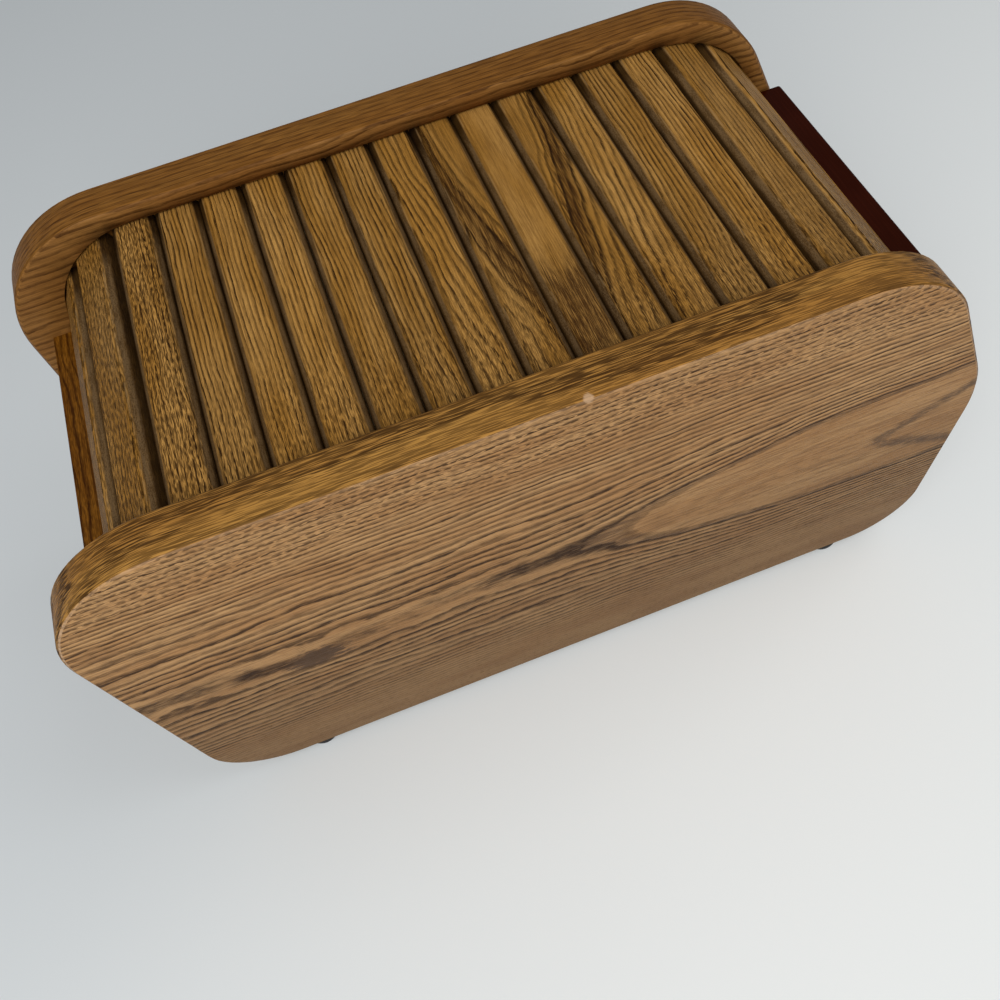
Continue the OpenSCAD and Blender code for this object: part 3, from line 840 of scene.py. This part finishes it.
def slatTree():
    tree = bpy.data.node_groups.new("slatRow", "GeometryNodeTree")
    for kind, names in slatInputs.items():
        for name in names:
            tree.interface.new_socket(name, in_out="INPUT", socket_type="NodeSocket" + kind)
    tree.interface.new_socket("Geometry", in_out="OUTPUT", socket_type="NodeSocketGeometry")
    graph = Graph(tree)
    group = graph.node("NodeGroupInput")
    given = {name: graph.out(group, name) for names in slatInputs.values() for name in names}
    one = shapeSlat(graph, given)

    # where each slat of the row stands
    index = graph.out(graph.node("GeometryNodeInputIndex"))
    fall = given["First Fall"] + index * given["Turn"]
    outward = graph.vector(graph.maths("SINE", fall) * given["Radius"], 0,
                           graph.maths("COSINE", fall) * given["Radius"])
    travel = graph.vectorMaths("MULTIPLY", given["Step"], graph.vector(index, index, index))
    place = graph.vectorMaths("ADD", graph.vectorMaths("ADD", given["Centre"], travel), outward)
    points = graph.node("GeometryNodePoints", {}, {"Count": given["Count"], "Position": place})
    row = graph.node("GeometryNodeInstanceOnPoints", {}, {
        "Points": graph.out(points), "Instance": graph.out(one), "Rotation": graph.vector(0, fall, 0)})
    random = graph.node("FunctionNodeRandomValue", {"data_type": "FLOAT"}, {"Seed": given["Seed"]})
    row = store(graph, row, "FLOAT", "INSTANCE", "slatSeed", graph.out(random, "Value_001"))
    row = store(graph, row, "FLOAT", "INSTANCE", "slatNumber", given["First Number"] + index)
    real = graph.node("GeometryNodeRealizeInstances", {}, {"Geometry": graph.out(row)})
    done = graph.node("GeometryNodeSetMaterial", {}, {
        "Geometry": graph.out(real), "Material": given["Material"]})
    graph.node("NodeGroupOutput", {}, {"Geometry": graph.out(done)})
    return tree


def growPiece(name, tree, values):
    # the tree's result as a plain mesh
    piece = newObject(name, bpy.data.meshes.new(name + "Start"))
    modifier = piece.modifiers.new("grow", "NODES")
    modifier.node_group = tree
    for item in tree.interface.items_tree:
        if item.in_out == "INPUT":
            modifier[item.identifier] = values[item.name]
    applyModifiers(piece).name = name
    return piece


def rowPlace(joint, fall, firstSlat):
    # the row's centre, the step from slat to slat, and the radius it turns at
    pitch = joints["curtain_slide"]["range_m"][1]
    low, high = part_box(firstSlat)
    middle = (low + high) / 2
    if joint:
        return joints[joint]["pos_m"], (0, 0, 0), pitch / math.radians(joints[joint]["range_deg"][1])
    if fall:
        return (high.x, 0, middle.z), (0, 0, -pitch), 0.0
    return (middle.x, 0, low.z), (-pitch, 0, 0), 0.0


def farthestOff(mesh, nodes):
    # how far the mesh's box is from the box round its nodes, at most
    lows, highs = zip(*[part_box(n) for n in nodes])
    places = [v.co for v in mesh.vertices]
    offs = []
    for i in range(3):
        offs.append(abs(min(p[i] for p in places) - min(low[i] for low in lows)))
        offs.append(abs(max(p[i] for p in places) - max(high[i] for high in highs)))
    return max(offs)


def makeSlats():
    tree = slatTree()
    low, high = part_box("slat_04")
    width, length, thickness = high - low
    for seed, (body, (joint, fall, turn)) in enumerate(slat["rows"].items()):
        nodes = sorted(n for n in frame["record"]["behaviour"]["bodies"][body] if n.startswith("slat"))
        centre, step, radius = rowPlace(joint, fall, nodes[0])
        piece = growPiece(body + "_slats", tree, {
            "Count": len(nodes), "Seed": seed + slat["firstSeed"], "First Number": int(nodes[0][-2:]),
            "Centre": centre, "Step": step, "Radius": radius,
            "First Fall": math.radians(fall), "Turn": math.radians(turn),
            "Length": length, "Width": width, "Thickness": thickness,
            "Bevel Width": slat["bevelWidth"], "Bevel Depth": slat["bevelDepth"],
            "Arris": slat["arris"], "Columns": slat["columns"], "Material": finishes["curtainOak"]})
        smooth(piece.data, slat["crisp"])
        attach(piece, body)
        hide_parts(*nodes)
        off = farthestOff(piece.data, nodes) * 1000
        print(f"{body}: {len(nodes)} slats, off the solids by {off:.2f} mm")


makeSlats()


# side panels and finger pull: copies of their solids, shaded smooth round their curves

softened = {
    "merge": 2e-6,  # corners this close are one, in metres
    "flatWeight": 80,  # how much more a large face counts in the shading
    # piece: node, body, finish, slot, angle in degrees over which an edge stays crisp
    "pieces": {
        "nearSidePanel": ("near_side_panel", "box", "nearSideOak", "side_oak", 50),
        "farSidePanel": ("far_side_panel", "box", "farSideOak", "side_oak", 50),
        "fingerPull": ("finger_pull", "lead", "maroon", "maroon_wood", 40),
    },
}


def makeSoftened(name, node, body, finish, slot, crisp):
    shape = bmesh.new()
    shape.from_mesh(frame["nodes"][node].data)
    bmesh.ops.remove_doubles(shape, verts=shape.verts, dist=softened["merge"])
    bmesh.ops.dissolve_degenerate(shape, edges=shape.edges, dist=softened["merge"])
    mesh = meshOf(name, shape)
    mesh.materials.clear()
    mesh.materials.append(finishes[finish])
    smooth(mesh, crisp)
    piece = newObject(name, mesh)
    modifier = piece.modifiers.new("evenNormals", "WEIGHTED_NORMAL")
    modifier.mode = "FACE_AREA"
    modifier.weight = softened["flatWeight"]
    modifier.keep_sharp = True
    applyModifiers(piece)
    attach(piece, body)
    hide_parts(node)


for name, values in softened["pieces"].items():
    makeSoftened(name, *values)
print("side panels and finger pull made")


# rubber feet, domed, with the recess for their screws

foot = {
    # half of the foot's section: radius and height in mm, from the screw's hole round the outside
    "section": [(1.72, 4.4), (3.12, 2.2), (3.6, 2.2), (3.6, 0), (6.2, 0), (7.7, 0.5), (8.7, 1.5),
                (9.1, 3), (9.2, 4.6), (9.2, 6.5), (1.72, 6.5)],
    "segments": 48,
    "crisp": 50,  # degrees
}


def addFoot(shape, x, y):
    turns = []
    for i in range(foot["segments"]):
        angle = 2 * math.pi * i / foot["segments"]
        turns.append([shape.verts.new((x + radius * math.cos(angle) / 1000,
                                       y + radius * math.sin(angle) / 1000, height / 1000))
                      for radius, height in foot["section"]])
    for first, second in zip(turns, turns[1:] + turns[:1]):
        for i in range(len(first)):
            shape.faces.new((first[i - 1], second[i - 1], second[i], first[i]))


def makeFeet():
    low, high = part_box("rubber_feet")
    panelLow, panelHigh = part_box("far_side_panel")
    middleY = (panelLow.y + panelHigh.y) / 2
    inset = high.y - middleY  # the solid foot's radius
    shape = bmesh.new()
    for x in (low.x + inset, high.x - inset):
        for y in (-middleY, middleY):
            addFoot(shape, x, y)
    bmesh.ops.recalc_face_normals(shape, faces=shape.faces)
    mesh = meshOf("domedFeet", shape)
    mesh.materials.append(finishes["rubber"])
    smooth(mesh, foot["crisp"])
    piece = newObject("domedFeet", mesh)
    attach(piece, "box")
    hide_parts("rubber_feet")


makeFeet()
print("feet made")


# the nodes that stay as they are

nodeFinishes = {
    "boardOak": ["back_board", "front_board", "lead_rail"],
    "railOak": ["near_divider_rail", "far_divider_rail"],
    "plyFlat": ["bottom_panel", "false_floor"],
    "plyUpright": ["false_back", "corner_board", "divider_1", "divider_2", "divider_3"],
    "steel": ["pull_screws", "divider_pins", "foot_screws"],
    "canvas": [n for n in frame["nodes"] if n.startswith("canvas")],
}

for finish, names in nodeFinishes.items():
    for name in names:
        for slot in frame["nodes"][name].material_slots:
            slot.material = finishes[finish]
print("nodes dressed:", sum(len(names) for names in nodeFinishes.values()))
